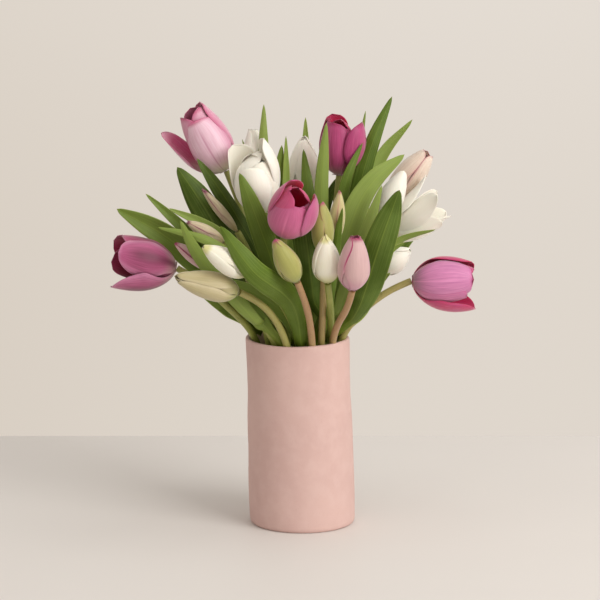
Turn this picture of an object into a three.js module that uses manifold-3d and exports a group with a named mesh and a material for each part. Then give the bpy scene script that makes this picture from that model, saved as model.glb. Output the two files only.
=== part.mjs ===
// Twenty-two cut tulips standing in a hand-built ceramic vase. Millimetres, +Z up.
// The origin is the centre of the vase's foot, on the surface that the vase stands on.
// -Y is the front. Each tulip is a stem and a bloom; fifteen of them also keep a whorl of leaves.
import * as THREE from "three";
import { mergeVertices } from "three/addons/utils/BufferGeometryUtils.js";
import Module from "manifold-3d";

const wasm = await Module();
wasm.setup();

// ---- Driving dimensions --------------------------------------------------------------------
const GAP = 0.3; // between pieces that touch

const VASE_HEIGHT = 186;
const VASE_WALL = 4.2;
const VASE_FLOOR = 6;
const VASE_LEAN = -5.3; // how far the rim's centre stands off the foot's centre, along X
const VASE_SIDES = 40;
// Height and outer radius up the wall: a foot, a slightly full belly, a waist and the rim.
const VASE_OUTLINE = [
  [0, 49],
  [1.4, 51],
  [5, 52],
  [40, 52.2],
  [86, 51.4],
  [134, 50.3],
  [VASE_HEIGHT - 2.6, 50.8],
  [VASE_HEIGHT - 0.6, 50],
];
// The same down the inside, from the rounded top of the rim to the corner of the floor.
const VASE_INSIDE = [
  [VASE_HEIGHT, 48.6],
  [VASE_HEIGHT - 0.6, 47.4],
  [134, 50.3 - VASE_WALL],
  [86, 51.4 - VASE_WALL],
  [14, 52 - VASE_WALL],
  [VASE_FLOOR, 44],
];
const VASE_WOBBLE = 0.005; // how far from round the hand-built wall is, as a share of its radius
const MOUTH_REACH = 42; // how far from the rim's centre a stem may stand

const STEM_RADIUS = 3.8;
const STEM_SIDES = 6;
const STEM_STEPS = 14;
const FOOT_PULL = 0.88; // stem feet stand closer together than the stems do at the rim

const BLOOM_SIDES = 10;
const BLOOM_SECTIONS = [0.05, 0.16, 0.32, 0.5, 0.68, 0.84, 0.95]; // shares of its length
const BLOOM_BELLY = 0.42; // the share of its length at which a bloom is fullest
const NECK = 16; // length of stem that already points the way the bloom does

const COLLAR_WALL = 2;
const COLLAR_HEIGHT = 7;
const COLLAR_SIDES = 12;
const LEAF_STATIONS = 9;
const LEAF_THICKNESS = 2; // at the midrib; the edges are sharp
const LEAF_LAST = 0.965; // the share of its length at which a blade's last full station is
const LEAF_CHANNEL = 0.07; // depth of the fold along the midrib, as a share of the width
const LEAF_ROOT_WIDTH = 7.5;
const SHEATH = 13; // how far above its collar a blade still runs beside the stem

// Colour, roughness of each finish.
const FINISH = {
  clay: [0xd8aea4, 0.75],
  stem: [0x8f9a4e, 0.55],
  leaf: [0x5f8a34, 0.5],
  pink: [0xc2649a, 0.5],
  rose: [0xa83a78, 0.5],
  magenta: [0xa02a66, 0.5],
  lilac: [0xc765a4, 0.5],
  white: [0xf0ecdc, 0.5],
  white_bud: [0xe9e3c8, 0.5],
  cream: [0xcfc09a, 0.5],
  green_bud: [0xb9b768, 0.5],
  blush_bud: [0xdcb0ae, 0.5],
  dusk_bud: [0xa9936e, 0.5],
  beige: [0xd9b9a6, 0.5],
};

// The tulips. rim is where the stem crosses the mouth; knee, base and tip are points further up:
// the stem's bend, the bloom's foot and the bloom's tip. mouth is how open the bloom is, 0 to 1.
// A whorl of leaves sits on a collar at height "collar" up the stem. Each blade leaves the
// stem at the angle "from" (0 front, 90 right, 180 back) and passes low, mid and tip.
// turn rolls its face about its own length.
const TULIPS = [
  {
    name: "01", tint: "pink", girth: 46, mouth: 0.7,
    rim: [-31, 4], knee: [-51, 8, 281], base: [-74, 8, 348], tip: [-109, 2, 410],
    collar: 182,
    leaves: [
      { from: -60, low: [-57, -10, 245], mid: [-93, -22, 314], tip: [-121, -14, 356], width: 29, turn: 10 },
      { from: 0, low: [-39, -6, 254], mid: [-70, -12, 316], tip: [-102, -6, 364], width: 17, turn: 35 },
      { from: -110, low: [-61, 0, 238], mid: [-119, -6, 298], tip: [-152, -8, 329], width: 11, turn: 10 },
      { from: 180, low: [-52, 30, 238], mid: [-80, 58, 290], tip: [-104, 74, 322], width: 24, turn: 0 },
    ],
  },
  {
    name: "02", tint: "white", girth: 44, mouth: 0.9,
    rim: [-15, -7], knee: [-29, -14, 250], base: [-40, -22, 312], tip: [-50, -34, 381],
    collar: 190,
    leaves: [
      { from: 0, low: [-26, -32, 253], mid: [-44, -54, 313], tip: [-60, -58, 357], width: 20, turn: 0 },
      { from: 180, low: [-18, 6, 263], mid: [-16, 8, 341], tip: [-16, 8, 384], width: 8, turn: 20 },
    ],
  },
  {
    name: "03", tint: "rose", girth: 47, mouth: 0.75,
    rim: [-15, -23], knee: [-18, -46, 241], base: [-17, -72, 302], tip: [-4, -108, 350],
    collar: 176,
    leaves: [
      { from: -90, low: [-43, -38, 252], mid: [-84, -46, 298], tip: [-128, -40, 320], width: 12, turn: 15 },
    ],
  },
  {
    name: "04", tint: "magenta", girth: 39, mouth: 0.75,
    rim: [9, 1], knee: [24, 14, 265], base: [36, 24, 343], tip: [35, 16, 403],
    collar: 184,
    leaves: [
      { from: -66, low: [12, 0, 247], mid: [6, 4, 321], tip: [1, 22, 368], width: 13, turn: 0 },
      { from: 5, low: [19, -2, 253], mid: [18, -10, 328], tip: [23, -6, 398], width: 13, turn: 0 },
      { from: 183, low: [17, 12, 251], mid: [25, 16, 319], tip: [46, 26, 349], width: 11, turn: 20 },
    ],
  },
  {
    name: "05", tint: "pink", girth: 52, mouth: 0.75,
    rim: [-43, -12], knee: [-78, -30, 228], base: [-121, -44, 261], tip: [-184, -56, 274],
    collar: 196,
    leaves: [
      { from: 180, low: [-78, -10, 236], mid: [-130, -26, 286], tip: [-179, -26, 317], width: 23, turn: 10 },
      { from: -90, low: [-59, -8, 203], mid: [-78, -14, 222], tip: [-109, -22, 246], width: 13, turn: 20 },
    ],
  },
  {
    name: "06", tint: "cream", girth: 32, mouth: 0.6,
    rim: [-13, -37], knee: [-29, -52, 220], base: [-60, -68, 246], tip: [-121, -86, 265],
  },
  {
    name: "07", tint: "white_bud", girth: 24, mouth: 0.2,
    rim: [-2, -32], knee: [-19, -56, 231], base: [-51, -82, 265], tip: [-94, -96, 295],
    collar: 168,
    leaves: [
      { from: 0, low: [-9, -64, 230], mid: [-48, -94, 274], tip: [-77, -98, 314], width: 22, turn: 0 },
      { from: 180, low: [-16, -40, 214], mid: [-52, -62, 244], tip: [-93, -66, 257], width: 13, turn: 15 },
    ],
  },
  {
    name: "08", tint: "green_bud", girth: 26, mouth: 0.2,
    rim: [10, -37], knee: [6, -58, 220], base: [-5, -90, 258], tip: [-26, -102, 301],
  },
  {
    name: "09", tint: "white_bud", girth: 28, mouth: 0.2,
    rim: [27, -15], knee: [28, -46, 219], base: [24, -84, 255], tip: [21, -91, 303],
  },
  {
    name: "10", tint: "blush_bud", girth: 31, mouth: 0.25,
    rim: [28, -26], knee: [37, -60, 219], base: [47, -94, 251], tip: [50, -102, 306],
  },
  {
    name: "11", tint: "green_bud", girth: 23, mouth: 0.2,
    rim: [18, -33], knee: [20, -50, 225], base: [20, -62, 278], tip: [18, -68, 330],
  },
  {
    name: "12", tint: "green_bud", girth: 17, mouth: 0.2,
    rim: [14, -12], knee: [27, -28, 228], base: [30, -44, 284], tip: [36, -50, 340],
    collar: 194,
    leaves: [
      { from: 34, low: [27, -38, 239], mid: [33, -56, 292], tip: [38, -60, 324], width: 8, turn: 0 },
      { from: -4, low: [14, -30, 219], mid: [5, -44, 280], tip: [-2, -50, 334], width: 22, turn: 0 },
    ],
  },
  {
    name: "13", tint: "lilac", girth: 53, mouth: 0.75,
    rim: [35, -6], knee: [74, -24, 233], base: [105, -34, 248], tip: [165, -44, 252],
    collar: 196,
    leaves: [
      { from: 0, low: [54, -34, 221], mid: [75, -62, 293], tip: [92, -66, 342], width: 28, turn: 0 },
      { from: 180, low: [62, 2, 225], mid: [83, 0, 270], tip: [100, 0, 280], width: 8, turn: 20 },
      { from: 110, low: [58, -2, 212], mid: [74, -7, 240], tip: [85, -14, 252], width: 8, turn: 10 },
    ],
  },
  {
    name: "14", tint: "white", girth: 31, mouth: 0.4,
    rim: [-3, 20], knee: [1, 34, 246], base: [2, 54, 313], tip: [1, 60, 375],
    collar: 186,
    leaves: [
      { from: -30, low: [-14, 14, 250], mid: [-24, 0, 331], tip: [-20, -6, 375], width: 15, turn: 0 },
      { from: 90, low: [1, 44, 244], mid: [3, 74, 330], tip: [3, 84, 391], width: 11, turn: 0 },
      { from: 180, low: [-6, 48, 240], mid: [-6, 88, 296], tip: [-12, 112, 338], width: 24, turn: 0 },
    ],
  },
  {
    name: "15", tint: "beige", girth: 33, mouth: 0.6,
    rim: [15, 18], knee: [51, 40, 245], base: [83, 60, 307], tip: [124, 64, 358],
    collar: 192,
    leaves: [
      { from: 178, low: [36, 50, 236], mid: [54, 84, 286], tip: [66, 104, 318], width: 22, turn: 0 },
      { from: -59, low: [37, 26, 258], mid: [54, 40, 355], tip: [62, 50, 402], width: 7, turn: 0 },
      { from: 52, low: [39, 20, 264], mid: [65, 20, 368], tip: [87, 22, 420], width: 16, turn: 0 },
      { from: 100, low: [43, 32, 260], mid: [75, 36, 354], tip: [108, 46, 394], width: 14, turn: 10 },
    ],
  },
  {
    name: "16", tint: "white", girth: 25, mouth: 0.4,
    rim: [23, 2], knee: [49, 10, 241], base: [76, 24, 296], tip: [99, 22, 346],
    collar: 176,
    leaves: [
      { from: -60, low: [30, -6, 265], mid: [42, -12, 341], tip: [58, -2, 378], width: 12, turn: 15 },
      { from: 0, low: [34, -20, 255], mid: [61, -28, 336], tip: [98, -18, 369], width: 23, turn: 10 },
      { from: 60, low: [41, -20, 236], mid: [65, -38, 308], tip: [76, -38, 342], width: 13, turn: 10 },
    ],
  },
  {
    name: "17", tint: "white", girth: 44, mouth: 0.8,
    rim: [27, 22], knee: [57, 34, 228], base: [83, 48, 276], tip: [137, 46, 308],
    collar: 194,
    leaves: [
      { from: 60, low: [65, 22, 228], mid: [92, 26, 275], tip: [130, 26, 289], width: 8, turn: 30 },
      { from: -120, low: [58, 46, 241], mid: [101, 76, 315], tip: [117, 90, 345], width: 7, turn: 0 },
      { from: 150, low: [66, 58, 226], mid: [94, 78, 262], tip: [118, 90, 278], width: 22, turn: 0 },
    ],
  },
  {
    name: "18", tint: "white", girth: 25, mouth: 0.4,
    rim: [34, 8], knee: [59, 10, 221], base: [74, 10, 249], tip: [106, 4, 271],
  },
  {
    name: "19", tint: "green_bud", girth: 18, mouth: 0.3,
    rim: [-32, -24], knee: [-49, -42, 241], base: [-75, -58, 289], tip: [-110, -66, 310],
    collar: 184,
    leaves: [
      { from: 60, low: [-45, -44, 247], mid: [-86, -64, 291], tip: [-138, -58, 305], width: 9, turn: 20 },
    ],
  },
  {
    name: "20", tint: "dusk_bud", girth: 21, mouth: 0.4,
    rim: [-23, -31], knee: [-55, -44, 224], base: [-87, -52, 261], tip: [-122, -62, 290],
    collar: 182,
    leaves: [
      { from: 0, low: [-33, -40, 200], mid: [-54, -50, 225], tip: [-83, -56, 248], width: 14, turn: 10 },
      { from: -50, low: [-60, -54, 231], mid: [-100, -72, 280], tip: [-116, -76, 315], width: 13, turn: 0 },
    ],
  },
  {
    name: "21", tint: "dusk_bud", girth: 14, mouth: 0.3,
    rim: [-27, -10], knee: [-39, -14, 240], base: [-63, -14, 294], tip: [-96, -22, 337],
  },
  {
    name: "22", tint: "white", girth: 30, mouth: 0.5,
    rim: [-19, 18], knee: [-25, 34, 251], base: [-38, 56, 316], tip: [-49, 66, 383],
    collar: 180,
    leaves: [
      { from: -2, low: [-29, 30, 257], mid: [-38, 44, 349], tip: [-38, 54, 408], width: 12, turn: 0 },
      { from: -92, low: [-31, 40, 255], mid: [-48, 74, 330], tip: [-60, 84, 369], width: 7, turn: 20 },
      { from: 176, low: [-34, 44, 238], mid: [-50, 84, 292], tip: [-60, 104, 328], width: 24, turn: 0 },
    ],
  },
];

// ---- Curves --------------------------------------------------------------------------------
const FRONT = new THREE.Vector3(0, -1, 0);
const rimCentre = new THREE.Vector3(VASE_LEAN, 0, VASE_HEIGHT);

const smooth = (t) => t * t * (3 - 2 * t);
const clamp01 = (t) => Math.min(1, Math.max(0, t));

// How far the vase's centre line stands off the Z axis at a height.
function leanAt(z) {
  return VASE_LEAN * Math.pow(clamp01(z / VASE_HEIGHT), 1.3);
}

// A point moved along Y by what the tulips' settling has given it.
function shifted(point, shift) {
  return new THREE.Vector3(point[0], point[1] + shift, point[2]);
}

function bloomAim(tulip) {
  const base = new THREE.Vector3(...tulip.base);
  return new THREE.Vector3(...tulip.tip).sub(base).normalize();
}

// From the foot inside the vase, through the mouth and the bend, to the bloom's foot.
function stemCurve(tulip) {
  const [x, y] = tulip.rim;
  const lean = VASE_LEAN * (1 - FOOT_PULL);
  const base = shifted(tulip.base, tulip.shift[3]);
  const neck = base.clone().addScaledVector(bloomAim(tulip), -NECK);
  return new THREE.CatmullRomCurve3([
    new THREE.Vector3(x * FOOT_PULL - lean, (y + tulip.shift[0]) * FOOT_PULL, VASE_FLOOR + GAP),
    new THREE.Vector3(x, y + tulip.shift[1], VASE_HEIGHT),
    shifted(tulip.knee, tulip.shift[2]),
    neck,
    base,
  ]);
}

// A collar sits on the middle of the straight length of stem that is nearest its height.
function collarSeat(tulip) {
  const curve = stemCurve(tulip);
  const points = curve.getSpacedPoints(STEM_STEPS);
  const seats = points.slice(1).map((end, i) => ({
    centre: end.clone().lerp(points[i], 0.5),
    along: end.clone().sub(points[i]).normalize(),
    t: curve.getUtoTmapping((i + 0.5) / STEM_STEPS),
  }));
  const miss = (seat) => Math.abs(seat.centre.z - tulip.collar);
  return seats.reduce((best, seat) => (miss(seat) < miss(best) ? seat : best));
}

// The level direction in which a blade leaves the stem, square to the stem.
function rootDirection(along, degrees) {
  const angle = THREE.MathUtils.degToRad(degrees);
  const outward = new THREE.Vector3(Math.sin(angle), -Math.cos(angle), 0);
  return outward.addScaledVector(along, -outward.dot(along)).normalize();
}

// A blade starts in the collar's wall, runs up beside its own stem and then turns away from it.
function leafCurve(tulip, leaf) {
  const seat = collarSeat(tulip);
  const outward = rootDirection(seat.along, leaf.from);
  const reach = STEM_RADIUS + GAP + COLLAR_WALL / 2 + 0.2;
  const root = seat.centre.clone().addScaledVector(outward, reach);
  const higher = root.clone().addScaledVector(seat.along, SHEATH).addScaledVector(outward, 0.8);
  return new THREE.CatmullRomCurve3([
    root,
    higher,
    shifted(leaf.low, leaf.shift[0]),
    shifted(leaf.mid, leaf.shift[1]),
    shifted(leaf.tip, leaf.shift[2]),
  ]);
}

// A blade's width at a share u of its length: narrow where it clasps, full in the middle, pointed.
function leafWidth(leaf, u) {
  const rise = smooth(clamp01(u / 0.42));
  const fall = Math.pow(clamp01((u - 0.45) / 0.55), 3);
  const full = LEAF_ROOT_WIDTH + (leaf.width - LEAF_ROOT_WIDTH) * rise;
  return full * Math.pow(1 - fall, 0.75);
}

// Centre, upper-face normal and side direction of a blade at a share u of its length.
function leafFrame(leaf, curve, u) {
  const centre = curve.getPointAt(u);
  const along = curve.getTangentAt(u);
  const inward = rootDirection(curve.getTangent(0), leaf.from).negate();
  const open = FRONT.clone();
  if (inward.dot(FRONT) < 0) open.negate();
  const square = (v) => v.addScaledVector(along, -v.dot(along)).normalize();
  const normal = square(inward).lerp(square(open), smooth(clamp01((u - 0.05) / 0.35)));
  square(normal);
  normal.applyAxisAngle(along, THREE.MathUtils.degToRad(leaf.turn) * smooth(clamp01(u / 0.5)));
  const side = new THREE.Vector3().crossVectors(along, normal).normalize();
  return { centre, normal, side };
}

// ---- Settling ------------------------------------------------------------------------------
// Stems, blooms and blades lie in front of and behind each other like loose sheets. The sizes
// above place them across and up; settling moves their points along Y until none touch.
const CELL = 2; // size of the squares, seen from the front, in which depths are compared
const CLEARANCE = 0.7;
const ROUNDS = 90;
const HURRY = 0.4; // share of an overlap that one round takes away
const MOST_SHIFT = 24;
const SIBLING_FREE = 0.16; // share of a blade, from its root, that may touch its sisters
const STEM_FREE = 0.1; // and that lies beside its own stem

function bloomRadius(tulip, t) {
  const rise = Math.sqrt(1 - Math.pow(1 - clamp01(t / BLOOM_BELLY), 2));
  const fall = clamp01((t - BLOOM_BELLY) / (1 - BLOOM_BELLY));
  const closing = 1 - (1 - tulip.mouth * 0.8) * Math.pow(fall, 2);
  const end = Math.sqrt(1 - Math.pow(clamp01((t - 0.8) / 0.2), 2));
  return (tulip.girth / 2) * rise * closing * end;
}

// A sheet records, per cell, the nearest and furthest depth of one piece and where on it.
function addDepth(sheet, x, z, near, far, t, u) {
  const key = Math.round(x / CELL) * 4096 + Math.round(z / CELL);
  const cell = sheet.get(key);
  if (!cell) {
    sheet.set(key, { near, far, t, u });
    return;
  }
  cell.near = Math.min(cell.near, near);
  cell.far = Math.max(cell.far, far);
}

function addBall(sheet, centre, radius, t) {
  const rim = radius - CELL / 4;
  for (let dx = -rim; dx <= rim; dx += CELL / 2) {
    const reach = Math.sqrt(rim * rim - dx * dx);
    for (let dz = -reach; dz <= reach; dz += CELL / 2) {
      const depth = Math.sqrt(radius * radius - dx * dx - dz * dz);
      addDepth(sheet, centre.x + dx, centre.z + dz, centre.y - depth, centre.y + depth, t, 1);
    }
  }
}

function tulipSheet(tulip) {
  const sheet = new Map();
  const curve = stemCurve(tulip);
  const steps = 170;
  for (let i = 0; i <= steps; i++) addBall(sheet, curve.getPoint(i / steps), STEM_RADIUS, i / steps);
  if (tulip.leaves) {
    const seat = collarSeat(tulip);
    for (const offset of [-0.4, 0, 0.4]) {
      const centre = seat.centre.clone().addScaledVector(seat.along, offset * COLLAR_HEIGHT);
      addBall(sheet, centre, STEM_RADIUS + GAP + COLLAR_WALL + 0.3, seat.t);
    }
  }
  const base = shifted(tulip.base, tulip.shift[3]);
  const tip = shifted(tulip.tip, tulip.shift[3]);
  const slices = 36;
  for (let i = 1; i < slices; i++) {
    const radius = Math.max(CELL / 2, bloomRadius(tulip, i / slices));
    addBall(sheet, base.clone().lerp(tip, i / slices), radius, 1);
  }
  return sheet;
}

function leafSheet(tulip, leaf) {
  const sheet = new Map();
  const curve = leafCurve(tulip, leaf);
  const steps = 110;
  for (let i = 0; i <= steps; i++) {
    const u = i / steps;
    const t = curve.getUtoTmapping(u);
    const { centre, normal, side } = leafFrame(leaf, curve, u);
    const half = leafWidth(leaf, u) / 2;
    const depth = LEAF_THICKNESS / 2 / Math.max(0.3, Math.abs(normal.y));
    for (let across = -half; across <= half; across += 1) {
      const fold = ((2 * Math.abs(across)) / Math.max(half, 0.1) - 1) * LEAF_CHANNEL * 2 * half;
      const point = centre.clone().addScaledVector(side, across).addScaledVector(normal, fold);
      addDepth(sheet, point.x, point.z, point.y - depth, point.y + depth, t, u);
    }
  }
  return sheet;
}

// The shifts that each point of a piece answers to, with the share that each takes at t.
function tulipShares(tulip, t) {
  const place = t * 4;
  const whole = Math.min(3, Math.floor(place));
  const part = place - whole;
  const knot = (i) => Math.min(3, i);
  return [[tulip, knot(whole), 1 - part], [tulip, knot(whole + 1), part]];
}

function leafShares(tulip, leaf, t) {
  const place = t * 4;
  const whole = Math.min(3, Math.floor(place));
  const part = place - whole;
  const knot = (i, share) => (i < 2 ? [tulip, 1, share] : [leaf, i - 2, share]);
  return [knot(whole, 1 - part), knot(whole + 1, part)];
}

function listPieces() {
  const pieces = [];
  for (const tulip of TULIPS) {
    pieces.push({
      tulip,
      sheet: () => tulipSheet(tulip),
      shares: (t) => tulipShares(tulip, t),
    });
    for (const leaf of tulip.leaves ?? []) {
      pieces.push({
        tulip,
        leaf,
        sheet: () => leafSheet(tulip, leaf),
        shares: (t) => leafShares(tulip, leaf, t),
      });
    }
  }
  return pieces;
}

// Whether two pieces of one plant are still at the place where they grow together.
function grownTogether(a, cellA, b, cellB) {
  if (a.tulip !== b.tulip) return false;
  const free = a.leaf && b.leaf ? SIBLING_FREE : STEM_FREE;
  return Math.min(cellA.u, cellB.u) < free;
}

// Every pair of pieces that covers common cells, with the cells of each.
function commonCells(pieces) {
  const sheets = pieces.map((piece) => piece.sheet());
  const pairs = new Map();
  const owners = new Map();
  sheets.forEach((sheet, j) => {
    for (const [key, cellB] of sheet) {
      const list = owners.get(key) ?? [];
      for (const [i, cellA] of list) {
        if (grownTogether(pieces[i], cellA, pieces[j], cellB)) continue;
        const name = i * 1000 + j;
        if (!pairs.has(name)) pairs.set(name, { i, j, cells: [] });
        pairs.get(name).cells.push([cellA, cellB]);
      }
      list.push([j, cellB]);
      owners.set(key, list);
    }
  });
  return [...pairs.values()];
}

function keepInMouth(tulip) {
  const collarInside = tulip.collar < VASE_HEIGHT + COLLAR_HEIGHT;
  const reach = collarInside ? MOUTH_REACH - COLLAR_WALL - GAP : MOUTH_REACH;
  const dx = tulip.rim[0] - rimCentre.x;
  const room = Math.sqrt(Math.max(0, reach * reach - dx * dx));
  for (const knot of [0, 1]) {
    const y = THREE.MathUtils.clamp(tulip.rim[1] + tulip.shift[knot], -room, room);
    tulip.shift[knot] = y - tulip.rim[1];
  }
}

function settle() {
  for (const tulip of TULIPS) {
    tulip.shift = [0, 0, 0, 0];
    for (const leaf of tulip.leaves ?? []) leaf.shift = [0, 0, 0];
  }
  const pieces = listPieces();
  const order = new Map();
  for (let round = 0; round < ROUNDS; round++) {
    const pushes = new Map();
    let worst = 0;
    for (const { i, j, cells } of commonCells(pieces)) {
      const name = i * 1000 + j;
      if (!order.has(name)) {
        const lead = cells.reduce((sum, [a, b]) => sum + b.near + b.far - a.near - a.far, 0);
        order.set(name, lead >= 0 ? 1 : -1);
      }
      const sign = order.get(name);
      for (const [a, b] of cells) {
        const overlap = (sign > 0 ? a.far - b.near : b.far - a.near) + CLEARANCE;
        if (overlap <= 0) continue;
        worst = Math.max(worst, overlap);
        for (const [piece, cell, way] of [[pieces[i], a, -sign], [pieces[j], b, sign]]) {
          for (const [owner, knot, share] of piece.shares(cell.t)) {
            if (!pushes.has(owner)) pushes.set(owner, owner.shift.map(() => [0, 0]));
            const push = pushes.get(owner)[knot];
            const slot = way > 0 ? 0 : 1;
            push[slot] = Math.max(push[slot], overlap * share);
          }
        }
      }
    }
    if (worst === 0) break; // settled
    for (const [owner, list] of pushes) {
      list.forEach(([back, front], knot) => {
        const moved = owner.shift[knot] + HURRY * (back - front);
        owner.shift[knot] = THREE.MathUtils.clamp(moved, -MOST_SHIFT, MOST_SHIFT);
      });
      if (owner.rim) keepInMouth(owner);
    }
  }
}

// ---- Solids --------------------------------------------------------------------------------
function geometryFromRings(rings, closing) {
  // rings: lists of points, all the same length; closing: a last single point
  const count = rings[0].length;
  const points = rings.flat();
  const faces = [];
  for (let k = 0; k + 1 < rings.length; k++) {
    for (let i = 0; i < count; i++) {
      const a = k * count + i;
      const b = k * count + ((i + 1) % count);
      faces.push(a, b, b + count, a, b + count, a + count);
    }
  }
  for (let i = 1; i + 1 < count; i++) faces.push(0, i + 1, i);
  const last = points.length;
  points.push(closing);
  for (let i = 0; i < count; i++) {
    faces.push(last - count + i, last - count + ((i + 1) % count), last);
  }
  const geometry = new THREE.BufferGeometry().setFromPoints(points);
  geometry.setIndex(faces);
  return geometry;
}

function toSolid(geometry) {
  const bare = geometry.clone();
  for (const name of Object.keys(bare.attributes)) {
    if (name !== "position") bare.deleteAttribute(name);
  }
  const merged = mergeVertices(bare, 1e-4);
  const vertProperties = merged.attributes.position.array;
  const triVerts = new Uint32Array(merged.index.array);
  return new wasm.Manifold(new wasm.Mesh({ numProp: 3, vertProperties, triVerts }));
}

function toGeometry(solid) {
  const mesh = solid.getMesh();
  const geometry = new THREE.BufferGeometry();
  geometry.setAttribute("position", new THREE.BufferAttribute(mesh.vertProperties, 3));
  geometry.setIndex(new THREE.BufferAttribute(mesh.triVerts, 1));
  return geometry;
}

function addPiece(group, name, geometry, finish) {
  const [color, roughness] = FINISH[finish];
  geometry.computeVertexNormals();
  const material = new THREE.MeshStandardMaterial({ color, roughness, metalness: 0 });
  const mesh = new THREE.Mesh(geometry, material);
  mesh.name = name;
  group.add(mesh);
  return mesh;
}

// The vase: outside up to a rounded rim, then down the inside to the floor. The hand-built
// wall is never quite round, so its radius swells and sinks a little round the turn.
function vaseGeometry() {
  const wall = [...VASE_OUTLINE, ...VASE_INSIDE].map(([z, r]) => new THREE.Vector2(r, z));
  const profile = [new THREE.Vector2(0, 0), ...wall, new THREE.Vector2(0, VASE_FLOOR)];
  const geometry = new THREE.LatheGeometry(profile, VASE_SIDES).rotateX(Math.PI / 2);
  const place = geometry.attributes.position;
  for (let i = 0; i < place.count; i++) {
    const z = place.getZ(i);
    const angle = Math.atan2(place.getY(i), place.getX(i));
    const wobble = Math.sin(2 * angle + z / 60) + 0.6 * Math.sin(3 * angle - z / 40);
    const stretch = 1 + VASE_WOBBLE * wobble * clamp01(z / 20);
    place.setX(i, place.getX(i) * stretch + leanAt(z));
    place.setY(i, place.getY(i) * stretch);
  }
  return geometry;
}

function stemGeometry(tulip) {
  const section = new THREE.Shape();
  for (let i = 0; i < STEM_SIDES; i++) {
    const angle = (i / STEM_SIDES) * 2 * Math.PI;
    section[i ? "lineTo" : "moveTo"](STEM_RADIUS * Math.cos(angle), STEM_RADIUS * Math.sin(angle));
  }
  section.closePath();
  return new THREE.ExtrudeGeometry(section, {
    steps: STEM_STEPS,
    bevelEnabled: false,
    extrudePath: stemCurve(tulip),
  });
}

// A closed cup of the outer shape of the six petals, standing on the end of the stem.
function bloomGeometry(tulip) {
  const length = new THREE.Vector3(...tulip.tip).distanceTo(new THREE.Vector3(...tulip.base));
  const outline = BLOOM_SECTIONS.map(
    (t) => new THREE.Vector2(bloomRadius(tulip, t), length * t),
  );
  const profile = [new THREE.Vector2(0, GAP + 0.1), ...outline, new THREE.Vector2(0, length)];
  const geometry = new THREE.LatheGeometry(profile, BLOOM_SIDES);
  geometry.applyQuaternion(
    new THREE.Quaternion().setFromUnitVectors(new THREE.Vector3(0, 1, 0), bloomAim(tulip)),
  );
  const base = shifted(tulip.base, tulip.shift[3]);
  return geometry.translate(base.x, base.y, base.z);
}

// One blade: at each station a left edge, an upper midrib, a right edge and a lower midrib.
function bladeGeometry(tulip, leaf) {
  const curve = leafCurve(tulip, leaf);
  const rings = [];
  for (let k = 0; k < LEAF_STATIONS; k++) {
    const u = (LEAF_LAST * k) / (LEAF_STATIONS - 1);
    const { centre, normal, side } = leafFrame(leaf, curve, u);
    const width = leafWidth(leaf, u);
    const fold = width * LEAF_CHANNEL * smooth(clamp01(u / 0.3));
    const half = (LEAF_THICKNESS / 2) * (1 - 0.55 * u);
    const at = (across, up) =>
      centre.clone().addScaledVector(side, across).addScaledVector(normal, up);
    rings.push([
      at(-width / 2, fold),
      at(0, half - fold),
      at(width / 2, fold),
      at(0, -half - fold),
    ]);
  }
  return geometryFromRings(rings, curve.getPoint(1));
}

// The ring round the stem from which a whorl's blades grow.
function collarGeometry(tulip) {
  const seat = collarSeat(tulip);
  const inner = (STEM_RADIUS + GAP) / Math.cos(Math.PI / COLLAR_SIDES);
  const outer = inner + COLLAR_WALL;
  const half = COLLAR_HEIGHT / 2;
  const profile = [
    [inner, -half],
    [outer, -half],
    [outer, half],
    [inner, half],
    [inner, -half],
  ].map(([r, y]) => new THREE.Vector2(r, y));
  const geometry = new THREE.LatheGeometry(profile, COLLAR_SIDES);
  geometry.applyQuaternion(
    new THREE.Quaternion().setFromUnitVectors(new THREE.Vector3(0, 1, 0), seat.along),
  );
  return geometry.translate(seat.centre.x, seat.centre.y, seat.centre.z);
}

function whorlGeometry(tulip) {
  let solid = toSolid(collarGeometry(tulip));
  for (const leaf of tulip.leaves) solid = solid.add(toSolid(bladeGeometry(tulip, leaf)));
  return toGeometry(solid);
}

// ---- Assembly ------------------------------------------------------------------------------
settle();

const group = new THREE.Group();
addPiece(group, "vase", vaseGeometry(), "clay");
for (const tulip of TULIPS) {
  const plant = new THREE.Group();
  addPiece(plant, `tulip_${tulip.name}_stem`, stemGeometry(tulip), "stem");
  addPiece(plant, `tulip_${tulip.name}_bloom`, bloomGeometry(tulip), tulip.tint);
  if (tulip.leaves) addPiece(plant, `tulip_${tulip.name}_leaves`, whorlGeometry(tulip), "leaf");
  group.add(plant);
}

export default group;
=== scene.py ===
import math
import random

import bmesh
import bpy
import numpy as np
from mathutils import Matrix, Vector, noise


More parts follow.
